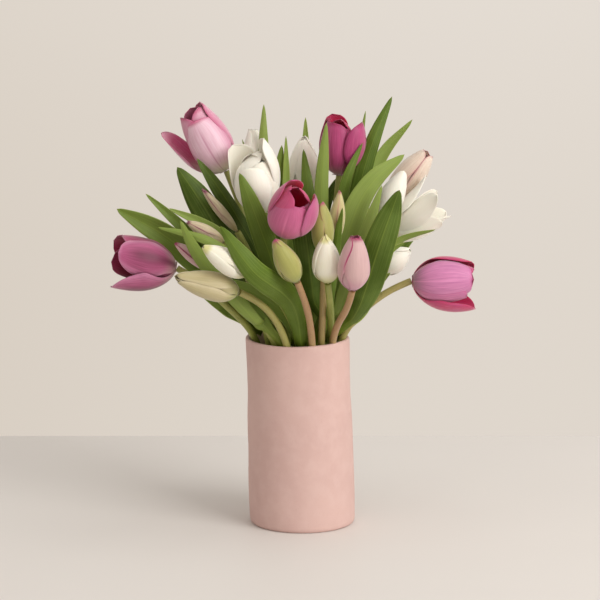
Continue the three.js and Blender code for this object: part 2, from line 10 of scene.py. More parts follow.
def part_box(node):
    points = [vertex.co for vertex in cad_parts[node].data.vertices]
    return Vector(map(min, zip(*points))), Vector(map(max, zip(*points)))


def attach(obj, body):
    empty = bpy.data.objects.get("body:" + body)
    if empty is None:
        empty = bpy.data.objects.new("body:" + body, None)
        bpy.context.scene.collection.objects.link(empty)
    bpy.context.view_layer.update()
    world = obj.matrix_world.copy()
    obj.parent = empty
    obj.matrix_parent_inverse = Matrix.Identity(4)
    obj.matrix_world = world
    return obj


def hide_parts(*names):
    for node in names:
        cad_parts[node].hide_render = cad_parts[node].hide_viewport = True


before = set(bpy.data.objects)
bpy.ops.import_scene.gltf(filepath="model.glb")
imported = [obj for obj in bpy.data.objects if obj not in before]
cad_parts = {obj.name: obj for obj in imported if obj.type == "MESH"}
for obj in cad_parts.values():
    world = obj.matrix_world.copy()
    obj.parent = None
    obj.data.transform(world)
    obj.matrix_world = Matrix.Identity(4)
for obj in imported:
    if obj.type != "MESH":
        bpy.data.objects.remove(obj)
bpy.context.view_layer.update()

# ---- Camera, floor and light -----------------------------------------------------------------
# The bunch stands on a pale table before a pale wall. The camera looks slightly down on it from
# the front, and soft daylight comes from the right and a little in front.
scene = bpy.context.scene
camera = bpy.data.objects.new("camera", bpy.data.cameras.new("camera"))
camera.location = (-0.00245, -2.937, 0.803)
camera.rotation_euler = (math.radians(78.82), 0, 0)
camera.data.sensor_width = 36
camera.data.lens = 183.6
scene.collection.objects.link(camera)
scene.camera = camera

world = bpy.data.worlds.new("room")
world.use_nodes = True
world.node_tree.nodes["Background"].inputs["Color"].default_value = (1.0, 0.93, 0.86, 1)
world.node_tree.nodes["Background"].inputs["Strength"].default_value = 0.56
scene.world = world
scene.view_settings.view_transform = "Standard"


def add_light(name, place, aim, size, power, colour):
    lamp = bpy.data.objects.new(name, bpy.data.lights.new(name, "AREA"))
    lamp.location = place
    lamp.rotation_euler = (Vector(aim) - Vector(place)).to_track_quat("-Z", "Y").to_euler()
    lamp.data.size = size
    lamp.data.energy = power
    lamp.data.color = colour
    scene.collection.objects.link(lamp)


add_light("window", (2.1, -1.9, 1.7), (0, 0, 0.2), 1.8, 61, (1.0, 0.98, 0.95))
add_light("ceiling", (0.6, -0.4, 2.6), (0, 0, 0.2), 1.6, 14, (1.0, 0.99, 0.97))


class Signal:
    """A shader socket that adds, subtracts and multiplies with numbers and other signals."""

    def __init__(self, tree, socket):
        self.tree, self.socket = tree, socket

    def node(self, kind, settings=None, inputs=None, output=0):
        """Adds any node: its settings first, then the values or links of its sockets."""
        made = self.tree.nodes.new(kind)
        for name, value in (settings or {}).items():
            if name == "stops":
                ramp = made.color_ramp
                while len(ramp.elements) < len(value):
                    ramp.elements.new(0.5)
                for element, (position, colour) in zip(ramp.elements, value):
                    element.position = position
                    element.color = (*colour, 1)
            else:
                setattr(made, name, value)
        for name, value in (inputs or {}).items():
            if isinstance(value, Signal):
                self.tree.links.new(value.socket, made.inputs[name])
            else:
                made.inputs[name].default_value = value
        return Signal(self.tree, made.outputs[output])

    def math(self, operation, *values):
        return self.node("ShaderNodeMath", {"operation": operation}, dict(enumerate(values)))

    def __add__(self, other):
        return self.math("ADD", self, other)

    def __sub__(self, other):
        return self.math("SUBTRACT", self, other)

    def __mul__(self, other):
        return self.math("MULTIPLY", self, other)

    def __abs__(self):
        return self.math("ABSOLUTE", self)

    def output(self, index):
        """Another output of the node that this signal comes from."""
        return Signal(self.tree, self.socket.node.outputs[index])

    def between(self, low, high):
        """0 below low, 1 above high, and smooth in between; reversed where high is below low."""
        return self.node(
            "ShaderNodeMapRange",
            {"interpolation_type": "SMOOTHSTEP"},
            {"Value": self, "From Min": low, "From Max": high},
        )

    def tint(self, start, end):
        """A colour that goes from start to end as this signal goes from 0 to 1."""
        inputs = {0: self}
        for index, colour in ((6, start), (7, end)):
            inputs[index] = colour if isinstance(colour, Signal) else (*colour, 1)
        return self.node("ShaderNodeMix", {"data_type": "RGBA"}, inputs, output=2)

    def grain(self, vector, scale, detail=2.0):
        """Noise from 0 to 1 over a vector."""
        return self.node(
            "ShaderNodeTexNoise", None, {"Vector": vector, "Scale": scale, "Detail": detail}
        )


def hex_colour(code):
    """The linear colour of a six-digit web colour."""
    parts = [int(code[i:i + 2], 16) / 255 for i in (0, 2, 4)]
    return tuple(p / 12.92 if p <= 0.04045 else ((p + 0.055) / 1.055) ** 2.4 for p in parts)


def new_finish(name):
    """An empty material, a signal to start its nodes from, and its Principled shader."""
    material = bpy.data.materials.new(name)
    material.use_nodes = True
    tree = material.node_tree
    shader = tree.nodes["Principled BSDF"]
    return material, Signal(tree, None), shader


def connect(signal, shader, socket):
    signal.tree.links.new(signal.socket, shader.inputs[socket])


def bump(start, shader, height, strength, distance):
    connect(
        start.node(
            "ShaderNodeBump", None, {"Height": height, "Strength": strength, "Distance": distance}
        ),
        shader,
        "Normal",
    )


def mesh_object(name, points, faces, materials):
    mesh = bpy.data.meshes.new(name)
    mesh.from_pydata([tuple(p) for p in points], [], faces)
    for material in materials:
        mesh.materials.append(material)
    mesh.shade_smooth()
    made = bpy.data.objects.new(name, mesh)
    scene.collection.objects.link(made)
    return made


def table_finish():
    """Pale satin paint with faint clouds."""
    material, start, shader = new_finish("table_top")
    place = start.node("ShaderNodeTexCoord", output="Object")
    shade = start.grain(place, 3.0)
    connect(shade.tint((0.72, 0.69, 0.66), (0.77, 0.74, 0.71)), shader, "Base Color")
    shader.inputs["Roughness"].default_value = 0.55
    shader.inputs["Specular IOR Level"].default_value = 0.35
    return material


TABLE_BACK = 0.351
TABLE_REACH = 4.0
floor = mesh_object(
    "table",
    [
        (-TABLE_REACH, -TABLE_REACH, 0),
        (TABLE_REACH, -TABLE_REACH, 0),
        (TABLE_REACH, TABLE_BACK, 0),
        (-TABLE_REACH, TABLE_BACK, 0),
    ],
    [(0, 1, 2, 3)],
    [table_finish()],
)


def wall_finish():
    """The pale wall far behind, glowing as a backdrop, with painted shade that darkens it a little
    to the left and lower down.
    """
    material, start, shader = new_finish("wall")
    place = start.node("ShaderNodeTexCoord", output="Object")
    parts = start.node("ShaderNodeSeparateXYZ", None, {0: place})
    height = parts.output(2)
    # painted shade: the wall's glow is a little darker to the left and lower down
    shade = parts.between(-1.6, 0.6) * 0.5 + height.between(-0.6, 0.9) * 0.5
    connect(shade.tint((0.66, 0.59, 0.51), (0.80, 0.745, 0.685)), shader, "Emission Color")
    shader.inputs["Emission Strength"].default_value = 1.0
    shader.inputs["Base Color"].default_value = (0, 0, 0, 1)
    shader.inputs["Roughness"].default_value = 1.0
    return material


WALL_BACK = 4.0
wall = mesh_object(
    "wall",
    [
        (-TABLE_REACH, WALL_BACK, -TABLE_REACH),
        (TABLE_REACH, WALL_BACK, -TABLE_REACH),
        (TABLE_REACH, WALL_BACK, TABLE_REACH),
        (-TABLE_REACH, WALL_BACK, TABLE_REACH),
    ],
    [(0, 1, 2, 3)],
    [wall_finish()],
)

# ---- Vase ------------------------------------------------------------------------------------
# One cylinder of pale pink clay, built up by hand and left unglazed: the wall is never quite
# round or straight, the rim is softly rounded, and the surface keeps a fine matt grain.
MM = 0.001
VASE_LEAN = -5.3
VASE_WALL = 4.2
VASE_FLOOR = 6
VASE_SIDES = 160
VASE_WOBBLE = 0.005  # how far from round, as a share of the radius
vase_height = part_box("vase")[1].z / MM


def clay_finish():
    """Matt clay, cloudy on a large scale, with fine dark specks and a worked surface."""
    material, start, shader = new_finish("unglazed_clay")
    place = start.node("ShaderNodeTexCoord", output="Object")
    cloud = start.grain(place, 14.0, 3.0)
    mottle = start.grain(place, 90.0, 3.0)
    speck = start.grain(place, 900.0, 1.0).between(0.66, 0.74)
    ground = cloud.between(0.3, 0.7).tint(hex_colour("d3b1aa"), hex_colour("dab9b1"))
    ground = (mottle.between(0.35, 0.75) * 0.45).tint(ground, hex_colour("dfc1ba"))
    connect((speck * 0.35).tint(ground, hex_colour("c99d92")), shader, "Base Color")
    connect(mottle.between(0.2, 0.8) * 0.12 + 0.68, shader, "Roughness")
    shader.inputs["Specular IOR Level"].default_value = 0.3
    fine = start.grain(place, 1400.0, 2.0)
    worked = start.grain(place, 55.0, 2.0)
    bump(start, shader, fine * 0.3 + worked, 0.35, 0.0012)
    return material


def smooth_step(t):
    t = min(1.0, max(0.0, t))
    return t * t * (3 - 2 * t)


def vase_profile():
    """Radius and height from the foot's centre, up the outside, over the rim and down inside."""
    h = vase_height
    outside = [(49, 0), (50.4, 0.5), (51.3, 1.6), (51.8, 3.2), (52, 5), (52.1, 12)]
    outside += [(52.2, z) for z in (22, 32, 40)]
    outside += [(52.2 - 0.8 * smooth_step((z - 40) / 46), z) for z in (50, 60, 70, 80, 86)]
    outside += [(51.4 - 1.1 * smooth_step((z - 86) / 48), z) for z in (96, 106, 116, 126, 134)]
    outside += [(50.3 + 0.5 * smooth_step((z - 134) / 48), z) for z in (144, 154, 164, 174, h - 3)]
    rim = 1.9
    centre = 50.8 - rim
    arc = [math.radians(a) for a in range(0, 181, 20)]
    outside += [(centre + rim * math.cos(a), h - rim + rim * math.sin(a)) for a in arc]
    inside = [(r - VASE_WALL, z) for r, z in ((50.6, h - 8), (50.4, 160), (50.3, 134))]
    inside += [(r - VASE_WALL, z) for r, z in ((51.4, 86), (52, 40), (52, 14))]
    inside += [(45.5, 9), (44, VASE_FLOOR + 0.6), (42, VASE_FLOOR)]
    return [(0, 0), (24, 0)] + outside + inside + [(20, VASE_FLOOR), (0, VASE_FLOOR)]


def build_vase():
    profile = vase_profile()
    points, faces = [], []
    for r, z in profile[1:-1]:
        lean = VASE_LEAN * min(1.0, max(0.0, z / vase_height)) ** 1.3
        for i in range(VASE_SIDES):
            angle = 2 * math.pi * i / VASE_SIDES
            wobble = math.sin(2 * angle + z / 60) + 0.6 * math.sin(3 * angle - z / 40)
            spot = Vector((math.cos(angle) * 1.6, math.sin(angle) * 1.6, z / 45))
            press = noise.noise(spot) * 0.011 + noise.noise(spot * 2.7) * 0.004
            rise = min(1.0, z / 20)
            reach = r * (1 + (VASE_WOBBLE * wobble + press) * rise)
            lift = noise.noise(Vector((math.cos(angle), math.sin(angle), 5.0))) * 1.1
            height = z + lift * smooth_step((z - 150) / 36)
            points.append((reach * math.cos(angle) + lean, reach * math.sin(angle), height))
    rings = len(profile) - 2
    for k in range(rings - 1):
        for i in range(VASE_SIDES):
            j = (i + 1) % VASE_SIDES
            a, b = k * VASE_SIDES + i, k * VASE_SIDES + j
            faces.append((a, b, b + VASE_SIDES, a + VASE_SIDES))
    for ring, z, turned in ((0, 0, True), (rings - 1, VASE_FLOOR, False)):
        centre = len(points)
        points.append((0, 0, z))
        for i in range(VASE_SIDES):
            a, b = ring * VASE_SIDES + i, ring * VASE_SIDES + (i + 1) % VASE_SIDES
            faces.append((b, a, centre) if turned else (a, b, centre))
    vase = mesh_object("vase_body", [Vector(p) * MM for p in points], faces, [clay_finish()])
    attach(vase, "root")
    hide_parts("vase")


build_vase()

# ---- Stems -----------------------------------------------------------------------------------
# Each stem is one smooth, waxy, juicy stalk, cut square at the foot. It is olive green below and
# turns pinkish brown under the bloom on the younger tulips.
TULIPS = sorted(name[6:8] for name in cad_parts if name.endswith("_bloom"))
BROWN_STEMS = {"08": 1.0, "10": 1.0, "11": 0.7, "13": 0.45, "06": 0.35, "09": 0.0}
STEM_RADIUS = 3.7 * MM
STEM_SIDES = 20
STEM_STEPS = 72
GREEN_STEM = 0.12  # how far a stem that isn't named above turns brown
STEM_RING = 9 * MM  # no two corners of one section are further apart


def corners_of(node):
    """The different corner points of a CAD node, whose mesh is loose triangles."""
    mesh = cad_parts[node].data
    flat = np.empty(len(mesh.vertices) * 3)
    mesh.vertices.foreach_get("co", flat)
    return np.unique(np.round(flat.reshape(-1, 3), 6), axis=0)


def stem_line(name):
    """The centre line of a CAD stem, from its foot to its bloom, as points."""
    corners = list(corners_of(f"tulip_{name}_stem"))
    centres = []
    while corners:
        near = [c for c in corners if np.linalg.norm(c - corners[0]) < STEM_RING]
        corners = [c for c in corners if np.linalg.norm(c - corners[0]) >= STEM_RING]
        centres.append(np.mean(near, axis=0))
    line = [min(centres, key=lambda c: c[2])]
    centres = [c for c in centres if c is not line[0]]
    while centres:
        step = min(centres, key=lambda c: np.linalg.norm(c - line[-1]))
        line.append(step)
        centres = [c for c in centres if c is not step]
    return [Vector(c) for c in line]


def softened(line, rounds=2):
    """The line with its corners eased, its ends kept."""
    for _ in range(rounds):
        inner = [(a + b * 2 + c) / 4 for a, b, c in zip(line, line[1:], line[2:])]
        line = [line[0]] + inner + [line[-1]]
    return line


def stem_finish():
    """Waxy stalk: green, mottled, streaked along its length, and brown towards some blooms."""
    material, start, shader = new_finish("tulip_stem")
    along = start.node("ShaderNodeAttribute", {"attribute_name": "along"}, output="Fac")
    brown = start.node("ShaderNodeAttribute", {"attribute_name": "brown"}, output="Fac")
    place = start.node("ShaderNodeTexCoord", output="Object")
    stretch = start.node("ShaderNodeMapping", None, {"Vector": place, "Scale": (1, 1, 0.12)})
    streak = start.grain(stretch, 700.0, 2.0)
    patch = start.grain(place, 40.0, 2.0)
    green = along.between(0.35, 1.0).tint(hex_colour("8c9a3c"), hex_colour("a3a85a"))
    green = (patch.between(0.35, 0.7) * 0.5).tint(green, hex_colour("74842c"))
    ripe = along.between(0.5, 0.75) * brown
    colour = ripe.tint(green, hex_colour("af8a64"))
    colour = (streak.between(0.5, 0.75) * 0.25).tint(colour, hex_colour("6d7433"))
    connect(colour, shader, "Base Color")
    connect(streak * 0.15 + 0.38, shader, "Roughness")
    shader.inputs["Subsurface Weight"].default_value = 0.15
    shader.inputs["Subsurface Radius"].default_value = (0.004, 0.005, 0.001)
    bump(start, shader, streak, 0.25, 0.0004)
    return material


def new_tree(name, inputs):
    """A Geometry Nodes tree that takes a geometry and these inputs, and a way to add nodes."""
    tree = bpy.data.node_groups.new(name, "GeometryNodeTree")
    for label, kind in (("Geometry", "Geometry"), *inputs):
        tree.interface.new_socket(label, in_out="INPUT", socket_type=f"NodeSocket{kind}")
    tree.interface.new_socket("Geometry", in_out="OUTPUT", socket_type="NodeSocketGeometry")

    def add(kind, sockets=None, settings=None):
        """Adds a node with these settings, and links or sets its sockets by name or number."""
        made = tree.nodes.new(kind)
        for key, value in (settings or {}).items():
            setattr(made, key, value)
        for key, value in (sockets or {}).items():
            for source in value if isinstance(value, list) else [value]:
                if isinstance(source, bpy.types.NodeSocket):
                    tree.links.new(source, made.inputs[key])
                else:
                    made.inputs[key].default_value = source
        return made.outputs

    return tree, tree.nodes.new("NodeGroupInput").outputs, add


def stem_tree():
    """Geometry Nodes that turn a stem's centre line into a stalk, a little swollen at its foot."""
    tree, given, add = new_tree(
        "stem_on_line",
        (("Radius", "Float"), ("Sides", "Int"), ("Brown", "Float"), ("Finish", "Material")),
    )
    times = {"operation": "MULTIPLY"}
    number = {"data_type": "FLOAT", "domain": "POINT"}
    fine = add("GeometryNodeResampleCurve", {"Curve": given["Geometry"], "Count": STEM_STEPS})
    share = add("GeometryNodeSplineParameter")["Factor"]
    taper = add("ShaderNodeMapRange", {"Value": share, "To Min": 1.06, "To Max": 0.88})
    ripple = add("ShaderNodeTexNoise", {"W": share, "Scale": 9.0}, {"noise_dimensions": "1D"})
    swell = add("ShaderNodeMapRange", {"Value": ripple["Fac"], "To Min": 0.93, "To Max": 1.07})
    shape = add("ShaderNodeMath", {0: taper["Result"], 1: swell["Result"]}, times)
    radius = add("ShaderNodeMath", {0: shape[0], 1: given["Radius"]}, times)
    kept = add(
        "GeometryNodeStoreNamedAttribute",
        {"Geometry": fine[0], "Name": "along", "Value": share},
        number,
    )
    ring = add("GeometryNodeCurvePrimitiveCircle", {"Resolution": given["Sides"], "Radius": 1.0})
    tube = add(
        "GeometryNodeCurveToMesh",
        {"Curve": kept[0], "Profile Curve": ring[0], "Scale": radius[0], "Fill Caps": True},
    )
    toned = add(
        "GeometryNodeStoreNamedAttribute",
        {"Geometry": tube[0], "Name": "brown", "Value": given["Brown"]},
        number,
    )
    soft = add("GeometryNodeSetShadeSmooth", {"Geometry": toned[0]})
    whole = add("GeometryNodeRealizeInstances", {"Geometry": soft[0]})
    done = add("GeometryNodeSetMaterial", {"Geometry": whole[0], "Material": given["Finish"]})
    add("NodeGroupOutput", {0: done[0]})
    return tree


def grown(name, source, tree, values):
    """The plain mesh that a Geometry Nodes tree makes from an object, with its inputs set."""
    modifier = source.modifiers.new("shape", "NODES")
    modifier.node_group = tree
    ids = {s.name: s.identifier for s in tree.interface.items_tree if s.in_out == "INPUT"}
    for key, value in values.items():
        modifier[ids[key]] = value
    ready = source.evaluated_get(bpy.context.evaluated_depsgraph_get())
    mesh = bpy.data.meshes.new_from_object(ready)
    bpy.data.objects.remove(source)
    mesh.name = name
    made = bpy.data.objects.new(name, mesh)
    scene.collection.objects.link(made)
    return made


STEM_LINES = {name: stem_line(name) for name in TULIPS}
STEM_TREE = stem_tree()
STEM_FINISH = stem_finish()


def build_stem(name):
    line = softened(STEM_LINES[name])
    curve = bpy.data.curves.new("line", "CURVE")
    curve.dimensions = "3D"
    spline = curve.splines.new("NURBS")
    spline.points.add(len(line) - 1)
    for point, place in zip(spline.points, line):
        point.co = (*place, 1)
    spline.order_u = 4
    spline.use_endpoint_u = True
    source = bpy.data.objects.new("line", curve)
    scene.collection.objects.link(source)
    values = {
        "Radius": STEM_RADIUS,
        "Sides": STEM_SIDES,
        "Brown": BROWN_STEMS.get(name, GREEN_STEM),
        "Finish": STEM_FINISH,
    }
    stem = grown(f"stem_{name}", source, STEM_TREE, values)
    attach(stem, "root")
    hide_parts(f"tulip_{name}_stem")


for name in TULIPS:
    build_stem(name)

# ---- Leaves ----------------------------------------------------------------------------------
# A tulip's leaves are long waxy blades that clasp the stem, fold along the midrib and run to a
# point. Fine veins run their whole length, the edges wave, and the rim is a little paler.
# Painted shade darkens the blades towards the root, and each blade's tone holds painted light and
# shade.
LEAF_ROWS = 44
LEAF_COLUMNS = 14
LEAF_THICK = 0.75 * MM
LEAF_SPREAD = 1.1  # how much wider a blade is than its CAD solid
LEAST_SECTIONS = 4  # a tip with no more sections under it isn't a blade's
LEAF_FOLD = 0.34  # how deep a blade is folded at its root, as a share of half its width
LEAF_UNFOLD = 0.16  # how much of that is gone towards the tip
FULL_TURN = 6.28
# Where a blade hugs its stem: how far under its first section, and half of its width there.
CLASP = ((42 * MM, 3.6 * MM), (24 * MM, 4.2 * MM), (8 * MM, 4.6 * MM))
CLASP_REACH = 4.6 * MM  # from the stem's centre line
# The tone of each blade of a tulip, the frontmost first: 0 deep green, 1 pale yellow-green.
# Each tone is partly the blade's own green and partly painted light and shade: blades in shade get
# darker tones.
LEAF_TONES_AND_SHADE = {
    "01": (0.12, 0.08, 0.55, 0.3), "02": (0.45, 0.7), "03": (0.75,), "04": (0.7, 0.45, 0.2),
    "05": (0.5, 0.65), "07": (0.4, 0.55), "12": (0.35, 0.15), "13": (0.18, 0.7, 0.5),
    "14": (0.6, 0.7, 0.3), "15": (0.3, 0.7, 0.62, 0.66), "16": (0.82, 0.75, 0.4),
    "17": (0.7, 0.4, 0.3), "19": (0.68,), "20": (0.7, 0.62), "22": (0.75, 0.5, 0.3),
}


def neighbours_of(node):
    """The CAD node's points, and for each the set of points that it shares an edge with."""
    mesh = bmesh.new()
    mesh.from_mesh(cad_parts[node].data)
    bmesh.ops.remove_doubles(mesh, verts=mesh.verts, dist=1e-6)
    mesh.verts.ensure_lookup_table()
    points = [v.co.copy() for v in mesh.verts]
    links = [{e.other_vert(v).index for e in v.link_edges} for v in mesh.verts]
    mesh.free()
    return points, links


def blade_sections(points, links, tip):
    """From a blade's tip down: its sections as (centre, half of its width as a vector, fold)."""
    seen, ring, sections = {tip}, links[tip], []
    side = None
    while len(ring) == 4:
        corners = sorted(ring)
        pairs = [(a, b) for a in corners for b in corners if a < b]
        rib = min(pairs, key=lambda p: (points[p[0]] - points[p[1]]).length)
        edge = [c for c in corners if c not in rib]
        left, right = points[edge[0]], points[edge[1]]
        if side and (right - left).dot(side) < 0:
            left, right = right, left
        side = right - left
        middle, spine = (left + right) / 2, (points[rib[0]] + points[rib[1]]) / 2
        sections.append(((middle + spine) / 2, side / 2, (middle - spine) / 2))
        seen |= ring
        ring = set().union(*(links[c] for c in ring)) - seen
    return sections


def clasp_sections(name, section):
    """Sections below a blade's first one, where it hugs its stem on the way down."""
    centre, side, fold = section
    line = STEM_LINES[name]
    nearest = min(range(1, len(line) - 1), key=lambda i: (line[i] - centre).length)
    down = (line[nearest - 1] - line[nearest + 1]).normalized()
    stem = line[nearest] + down * (centre - line[nearest]).dot(down)
    outward = (centre - stem).normalized()
    across = down.cross(outward) * (1 if down.cross(outward).dot(side) > 0 else -1)
    return [
        (stem + down * drop + outward * CLASP_REACH, across * half, -outward * CLASP_REACH)
        for drop, half in CLASP
    ]


def find_blades(name):
    """The blades of a whorl: each a list of sections from the root up, then its tip."""
    points, links = neighbours_of(f"tulip_{name}_leaves")
    blades = []
    for tip in (i for i, near in enumerate(links) if len(near) == 4):
        sections = blade_sections(points, links, tip)
        if len(sections) > LEAST_SECTIONS:
            blades.append((clasp_sections(name, sections[-1]) + sections[::-1], points[tip]))
    return blades


def spline_at(values, t):
    """A smooth curve through vectors, t from 0 to 1."""
    place = t * (len(values) - 1)
    i = min(int(place), len(values) - 2)
    s = place - i
    b, c = values[i], values[i + 1]
    a = values[i - 1] if i else b * 2 - c
    d = values[i + 2] if i + 2 < len(values) else c * 2 - b
    return (
        b * 2 + (c - a) * s + (a * 2 - b * 5 + c * 4 - d) * s**2 + (b * 3 - a - c * 3 + d) * s**3
    ) / 2


def leaf_finish():
    """Waxy leaf: a tone from deep to bright green with painted light and shade in it, veins, a
    pale rim and an olive root darkened by painted shade.
    """
    material, start, shader = new_finish("tulip_leaf")
    face = start.node("ShaderNodeUVMap", {"uv_map": "blade"})
    parts = start.node("ShaderNodeSeparateXYZ", None, {0: face})
    across = abs(parts - 0.5) * 2
    along = parts.output(1)
    # the blade's tone, partly its own green and partly painted light and shade
    tone = start.node("ShaderNodeAttribute", {"attribute_name": "tone"}, output="Fac")
    lines = start.node("ShaderNodeMapping", None, {"Vector": face, "Scale": (46, 1.2, 1)})
    vein = start.grain(lines, 1.6, 3.0)
    place = start.node("ShaderNodeTexCoord", output="Object")
    patch = start.grain(place, 28.0, 3.0)
    ground = tone.node(
        "ShaderNodeValToRGB",
        {"stops": [
            (0.0, hex_colour("2f4200")),
            (0.35, hex_colour("4a6206")),
            (0.6, hex_colour("788c3a")),
            (1.0, hex_colour("a5b766")),
        ]},
        {0: tone},
    )
    ground = (patch.between(0.35, 0.7) * 0.3).tint(ground, hex_colour("7d9646"))
    ground = (vein.between(0.45, 0.7) * 0.15).tint(ground, hex_colour("a5b860"))
    ground = (vein.between(0.5, 0.25) * 0.18).tint(ground, hex_colour("365208"))
    ground = (across.between(0.08, 0.0) * 0.2).tint(ground, hex_colour("a5b750"))
    ground = (across.between(0.94, 1.0) * 0.5).tint(ground, hex_colour("adbb60"))
    # painted shade: the blades darken to olive towards the root, low in the bunch
    ground = (along.between(0.35, 0.0) * 0.55).tint(ground, hex_colour("808c20"))
    connect((along.between(0.97, 1.0) * 0.6).tint(ground, hex_colour("8f8f3a")),
            shader, "Base Color")
    connect(vein * 0.12 + 0.42, shader, "Roughness")
    shader.inputs["Specular IOR Level"].default_value = 0.25
    shader.inputs["Subsurface Weight"].default_value = 0.12
    shader.inputs["Subsurface Radius"].default_value = (0.002, 0.004, 0.0006)
    bump(start, shader, vein, 0.3, 0.0005)
    return material


LEAF_FINISH = leaf_finish()


def blade_points(sections, tip, rng):
    """A blade's surface: rows of points from its root to its tip."""
    centres = [s[0] for s in sections] + [tip]
    sides = [s[1] for s in sections]
    sides.append(sides[-1] * 0.01)
    folds = [s[2] for s in sections]
    folds.append(folds[-1] * 0.01)
    last = len(sections) / (len(centres) - 1)
    phase, beat = rng.uniform(0, FULL_TURN), rng.uniform(1.6, 3.0)
    wave = rng.uniform(0.02, 0.055)
    rows = []
    for r in range(LEAF_ROWS + 1):
        v = 1 - (1 - r / LEAF_ROWS) ** 1.15
        centre = spline_at(centres, v)
        side = spline_at(sides, v)
        width = max(side.length, 1e-6)
        ahead = spline_at(centres, min(1, v + 0.02)) - spline_at(centres, max(0, v - 0.02))
        across = side - ahead * (side.dot(ahead) / max(ahead.length_squared, 1e-12))
        across.normalize()
        up = ahead.normalized().cross(across).normalized()
        fold = spline_at(folds, v)
        if fold.length > 1e-6 and up.dot(fold) < 0:
            up = -up
        depth = width * (LEAF_FOLD - LEAF_UNFOLD * smooth_step(v * 1.4))
        row = []
        for c in range(LEAF_COLUMNS + 1):
            u = 2 * c / LEAF_COLUMNS - 1
            cup = (abs(u) ** 1.5 * 1.6 - 0.75) * depth
            ripple = width * wave * abs(u) ** 2 * math.sin(beat * FULL_TURN * v + phase + u)
            point = centre + across * (u * width * LEAF_SPREAD) + up * (cup + ripple * 2.2)
            row.append((point, (c / LEAF_COLUMNS, v * last)))
        rows.append(row)
    return rows


def sheet_faces(rows, columns, first):
    """The faces of a sheet whose points start at first, row by row."""
    faces = []
    for r in range(rows):
        for c in range(columns):
            a = first + r * (columns + 1) + c
            faces.append((a, a + 1, a + columns + 2, a + columns + 1))
    return faces


def finish_sheet(name, points, faces, uvs, attributes, materials, thickness, layer):
    """A mesh of thin sheets with its UV map and attributes, given its thickness."""
    made = mesh_object(name, points, faces, materials)
    uv_map = made.data.uv_layers.new(name=layer)
    for loop in made.data.loops:
        uv_map.data[loop.index].uv = uvs[loop.vertex_index]
    for key, values in attributes.items():
        made.data.attributes.new(key, "FLOAT", "POINT").data.foreach_set("value", values)
    wall = made.modifiers.new("thickness", "SOLIDIFY")
    wall.thickness = thickness
    wall.offset = 0
    wall.use_even_offset = False
    if len(materials) > 1:
        wall.material_offset = 1
    return made


def build_leaves(name):
    """All the blades of one tulip as one piece, each in a tone of its own with painted light and
    shade in it.
    """
    rng = random.Random(int(name) * 7 + 3)
    blades = find_blades(name)
    blades.sort(key=lambda blade: blade[1].y)
    tones_and_shade = LEAF_TONES_AND_SHADE[name]
    points, faces, uvs, tone = [], [], [], []
    for index, (sections, tip) in enumerate(blades):
        rows = blade_points(sections, tip, rng)
        faces += sheet_faces(LEAF_ROWS, LEAF_COLUMNS, len(points))
        for row in rows:
            for point, uv in row:
                points.append(point)
                uvs.append(uv)
                tone.append(tones_and_shade[min(index, len(tones_and_shade) - 1)])
    leaves = finish_sheet(
        f"leaves_{name}", points, faces, uvs, {"tone": tone}, [LEAF_FINISH], LEAF_THICK, "blade"
    )
    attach(leaves, "root")
    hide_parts(f"tulip_{name}_leaves")


for name in LEAF_TONES_AND_SHADE:
    build_leaves(name)

# ---- Blooms ----------------------------------------------------------------------------------
# A tulip's bloom is six thin satin petals in two rings of three, cupped round one another and
# joined at the foot. Each has a faint keel, fine veins and a colour that changes from foot to tip.
PETAL_ROWS = 30
PETAL_COLUMNS = 18
PETAL_THICK = 0.6 * MM
PETAL_FOOT = 0.34  # a petal's breadth at its foot, as a share of its full breadth
OUTER_BREADTH = 1.06  # half of a petal's breadth, as a share of the bloom's radius
INNER_BREADTH = 0.98
INNER_BELLY = 0.9  # how far out the inner ring's belly is, as a share of the bloom's radius
INNER_REACH = 0.97
# Painted shade on the inner ring's petals, which sit inside the outer ones.
INNER_SHADE = 0.12
# The petals' places, outer ring first, each with how much more open than its bloom it stands.
RINGS = ((0, 0.0), (2, -0.025), (4, 0.015), (1, -0.02), (3, 0.025), (5, 0.0))

